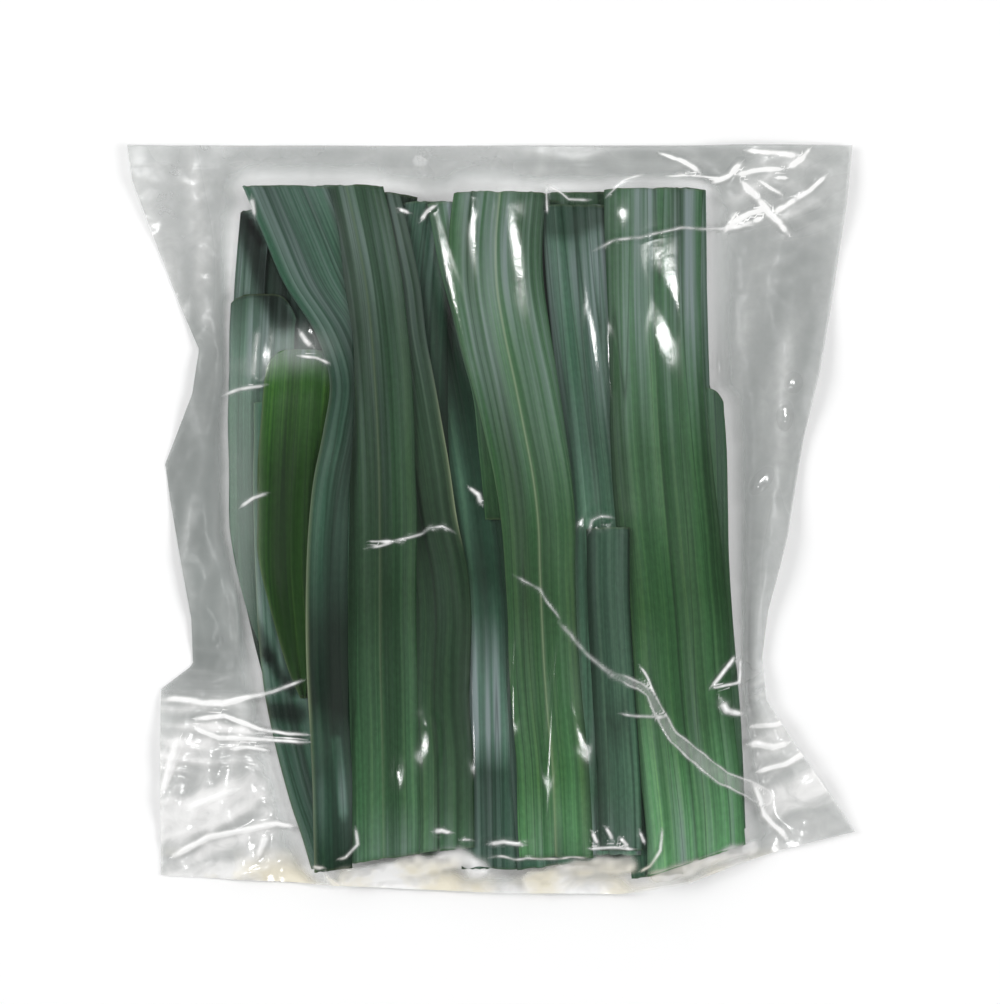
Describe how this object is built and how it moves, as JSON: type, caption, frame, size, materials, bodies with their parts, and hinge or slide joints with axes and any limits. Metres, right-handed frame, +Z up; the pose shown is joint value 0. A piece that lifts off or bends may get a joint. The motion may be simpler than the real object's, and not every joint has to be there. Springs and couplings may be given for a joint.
{
  "type": "pandan leaf bunch",
  "caption": "Long strap-shaped pandan leaves, cut to one length and stacked flat, vacuum-packed in a clear, creased film pouch that lies on its back.",
  "frame": {"origin": "on the surface that the pouch lies on, below the middle of its outline", "axes": "+Z up through the pouch's front film, +Y along the leaves towards their heads and the pouch's top edge, +X to the right seen from above with +Y away"},
  "size_m": [0.2566, 0.2642, 0.0175],
  "materials": {
    "leaf_deep": "waxy blue-green leaf blade with fine parallel veins, in shade",
    "leaf_mid": "waxy mid-green leaf blade with fine parallel veins",
    "leaf_bright": "waxy bright green young leaf blade with fine parallel veins",
    "leaf_light": "waxy light green leaf blade with fine parallel veins and a pale midrib",
    "leaf_grey": "grey-green underside of a leaf blade with fine parallel veins",
    "film": "clear glossy vacuum-pouch film, creased, milky where it is crumpled"
  },
  "bodies": {
    "root": {"pouch_back_film": "film", "leaf_under_1_1": "leaf_mid", "leaf_under_1_2": "leaf_bright", "leaf_under_1_3": "leaf_bright", "leaf_under_1_4": "leaf_grey", "leaf_under_1_5": "leaf_bright", "leaf_under_2_1": "leaf_grey", "leaf_under_2_2": "leaf_light", "leaf_under_2_3": "leaf_grey", "leaf_under_2_4": "leaf_bright", "leaf_under_2_5": "leaf_light", "leaf_under_2_6": "leaf_bright", "leaf_under_3_1": "leaf_grey", "leaf_under_3_2": "leaf_light", "leaf_under_3_3": "leaf_mid", "leaf_under_3_4": "leaf_mid", "leaf_under_3_5": "leaf_mid", "leaf_under_3_6": "leaf_light", "leaf_under_4_1": "leaf_deep", "leaf_under_4_2": "leaf_bright", "leaf_under_4_3": "leaf_grey", "leaf_under_4_4": "leaf_grey", "leaf_under_4_5": "leaf_mid", "leaf_left_rear": "leaf_grey", "leaf_left_tip": "leaf_grey", "leaf_left_low": "leaf_deep", "leaf_right_rear": "leaf_mid", "leaf_right_edge": "leaf_mid", "leaf_gap_leaf": "leaf_deep", "leaf_middle_low": "leaf_deep", "leaf_right_low": "leaf_deep", "leaf_left_inner": "leaf_deep", "leaf_left_bright": "leaf_bright", "leaf_middle_grey": "leaf_grey", "leaf_middle_left": "leaf_light", "leaf_left_right_hand": "leaf_mid", "leaf_left_middle": "leaf_mid", "leaf_left_fold": "leaf_deep", "leaf_middle_broad": "leaf_light", "leaf_right_broad": "leaf_light", "leaf_middle_short": "leaf_grey", "pouch_front_film": "film"}
  },
  "joints": []
}
